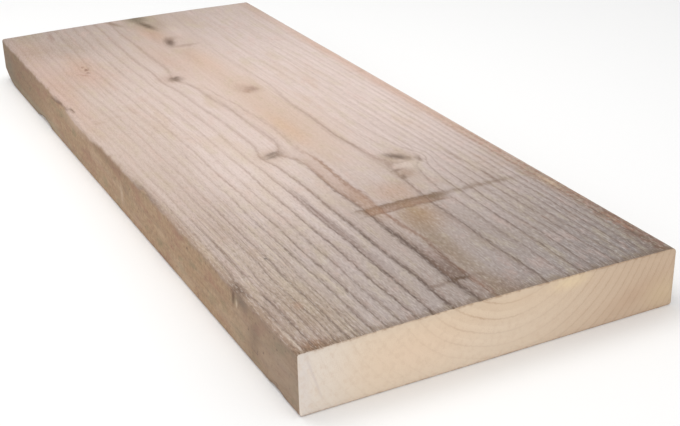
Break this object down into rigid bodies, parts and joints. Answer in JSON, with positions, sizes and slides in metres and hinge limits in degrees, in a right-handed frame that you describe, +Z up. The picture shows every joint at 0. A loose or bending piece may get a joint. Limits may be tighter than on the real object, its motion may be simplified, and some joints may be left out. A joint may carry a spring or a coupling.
{
  "type": "timber lumber plank",
  "caption": "Short length of weathered softwood scaffold board with a crowned top, worn long edges and square sawn ends.",
  "frame": {"origin": "centre of the underside", "axes": "+X along the grain towards the near sawn end, +Y across the width, +Z up from the underside to the weathered face"},
  "size_m": [0.5, 0.195, 0.031],
  "materials": {
    "weathered_softwood": "bare, weathered and lightly brushed on its faces, fresh-sawn on its ends"
  },
  "bodies": {
    "root": {"plank": "weathered_softwood"}
  },
  "joints": []
}
